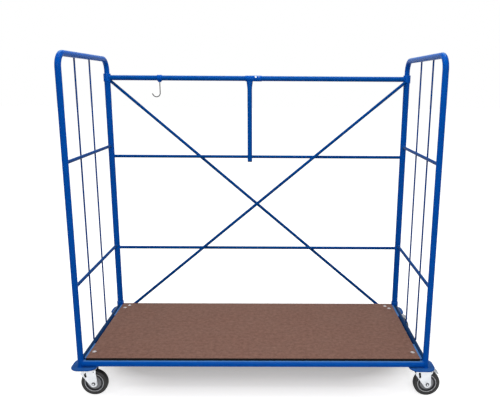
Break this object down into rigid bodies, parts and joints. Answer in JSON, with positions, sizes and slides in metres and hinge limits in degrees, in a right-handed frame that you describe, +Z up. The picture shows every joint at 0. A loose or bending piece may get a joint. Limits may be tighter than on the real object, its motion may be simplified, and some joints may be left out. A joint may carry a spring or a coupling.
{
  "type": "tube-frame load trolley",
  "caption": "Open-fronted load trolley with hooped tube ends, a cross-braced back, a plywood deck, a swinging arm and a hook on the top rail, and swivel casters with brakes.",
  "frame": {"origin": "on the floor under the middle of the four corner posts", "axes": "+X to the right along the length, +Y from the open front to the braced back, +Z up"},
  "size_m": [1.7245, 0.74, 1.5774],
  "materials": {
    "blue_paint": "glossy powder coat",
    "plywood": "brown film face",
    "zinc": "zinc plated",
    "black_rubber": "matt rubber",
    "grey_plastic": "moulded",
    "pedal_plastic": "grey coated",
    "black_plastic": "moulded",
    "wire": "zinc plated"
  },
  "bodies": {
    "frame": {"left_end_hoop": "blue_paint", "right_end_hoop": "blue_paint", "left_upper_rung": "blue_paint", "left_lower_rung": "blue_paint", "right_upper_rung": "blue_paint", "right_lower_rung": "blue_paint", "left_upright_rods": "blue_paint", "right_upright_rods": "blue_paint", "back_top_rail": "blue_paint", "back_middle_rod": "blue_paint", "back_lower_rod": "blue_paint", "falling_brace": "blue_paint", "rising_brace": "blue_paint", "left_rail_sleeve": "blue_paint", "right_rail_sleeve": "blue_paint", "left_foot_collar": "blue_paint", "right_foot_collar": "blue_paint", "front_base_rail": "blue_paint", "rear_base_rail": "blue_paint", "left_base_rail": "blue_paint", "right_base_rail": "blue_paint", "deck_bearers": "blue_paint", "deck_gussets": "blue_paint", "deck_board": "plywood", "deck_bolts": "zinc", "arm_stop_collar": "blue_paint", "hook_collar": "blue_paint", "caster_kingpins": "zinc", "caster_bolts": "zinc", "front_left_corner_plate": "blue_paint", "front_left_caster_plate": "zinc", "front_right_corner_plate": "blue_paint", "front_right_caster_plate": "zinc", "rear_left_corner_plate": "blue_paint", "rear_left_caster_plate": "zinc", "rear_right_corner_plate": "blue_paint", "rear_right_caster_plate": "zinc"},
    "front_left_fork": {"front_left_caster_fork": "zinc", "front_left_axle": "zinc"},
    "front_left_wheel": {"front_left_tyre": "black_rubber", "front_left_wheel_core": "grey_plastic"},
    "front_right_fork": {"front_right_caster_fork": "zinc", "front_right_axle": "zinc"},
    "front_right_wheel": {"front_right_tyre": "black_rubber", "front_right_wheel_core": "grey_plastic"},
    "front_right_pedal": {"front_right_brake_pedal": "pedal_plastic"},
    "rear_left_fork": {"rear_left_caster_fork": "zinc", "rear_left_axle": "zinc"},
    "rear_left_wheel": {"rear_left_tyre": "black_rubber", "rear_left_wheel_core": "grey_plastic"},
    "rear_right_fork": {"rear_right_caster_fork": "zinc", "rear_right_axle": "zinc"},
    "rear_right_wheel": {"rear_right_tyre": "black_rubber", "rear_right_wheel_core": "grey_plastic"},
    "rear_right_pedal": {"rear_right_brake_pedal": "pedal_plastic"},
    "arm": {"arm_sleeve": "blue_paint", "arm_tube": "blue_paint", "arm_end_cap": "black_plastic"},
    "hook": {"hook": "wire"}
  },
  "joints": [
    {"name": "front_left_swivel", "type": "hinge", "parent": "frame", "child": "front_left_fork", "pos_m": [-0.784, -0.302, 0.1335], "axis": [0, 0, 1], "continuous": true},
    {"name": "front_left_wheel_spin", "type": "hinge", "parent": "front_left_fork", "child": "front_left_wheel", "pos_m": [-0.75, -0.302, 0.0625], "axis": [0, 1, 0], "continuous": true},
    {"name": "front_right_swivel", "type": "hinge", "parent": "frame", "child": "front_right_fork", "pos_m": [0.784, -0.302, 0.1335], "axis": [0, 0, 1], "continuous": true},
    {"name": "front_right_wheel_spin", "type": "hinge", "parent": "front_right_fork", "child": "front_right_wheel", "pos_m": [0.818, -0.302, 0.0625], "axis": [0, 1, 0], "continuous": true},
    {"name": "front_right_brake", "type": "hinge", "parent": "front_right_fork", "child": "front_right_pedal", "pos_m": [0.834, -0.302, 0.127], "axis": [0, 1, 0], "range_deg": [0, 10]},
    {"name": "rear_left_swivel", "type": "hinge", "parent": "frame", "child": "rear_left_fork", "pos_m": [-0.784, 0.302, 0.1335], "axis": [0, 0, 1], "continuous": true},
    {"name": "rear_left_wheel_spin", "type": "hinge", "parent": "rear_left_fork", "child": "rear_left_wheel", "pos_m": [-0.75, 0.302, 0.0625], "axis": [0, 1, 0], "continuous": true},
    {"name": "rear_right_swivel", "type": "hinge", "parent": "frame", "child": "rear_right_fork", "pos_m": [0.784, 0.302, 0.1335], "axis": [0, 0, 1], "continuous": true},
    {"name": "rear_right_wheel_spin", "type": "hinge", "parent": "rear_right_fork", "child": "rear_right_wheel", "pos_m": [0.818, 0.302, 0.0625], "axis": [0, 1, 0], "continuous": true},
    {"name": "rear_right_brake", "type": "hinge", "parent": "rear_right_fork", "child": "rear_right_pedal", "pos_m": [0.834, 0.302, 0.127], "axis": [0, 1, 0], "range_deg": [0, 10]},
    {"name": "arm_swing", "type": "hinge", "parent": "frame", "child": "arm", "pos_m": [-0.041, 0.33, 1.47], "axis": [-1, 0, 0], "range_deg": [0, 354]},
    {"name": "hook_swivel", "type": "hinge", "parent": "frame", "child": "hook", "pos_m": [-0.521, 0.33, 1.448], "axis": [0, 0, 1], "continuous": true}
  ]
}
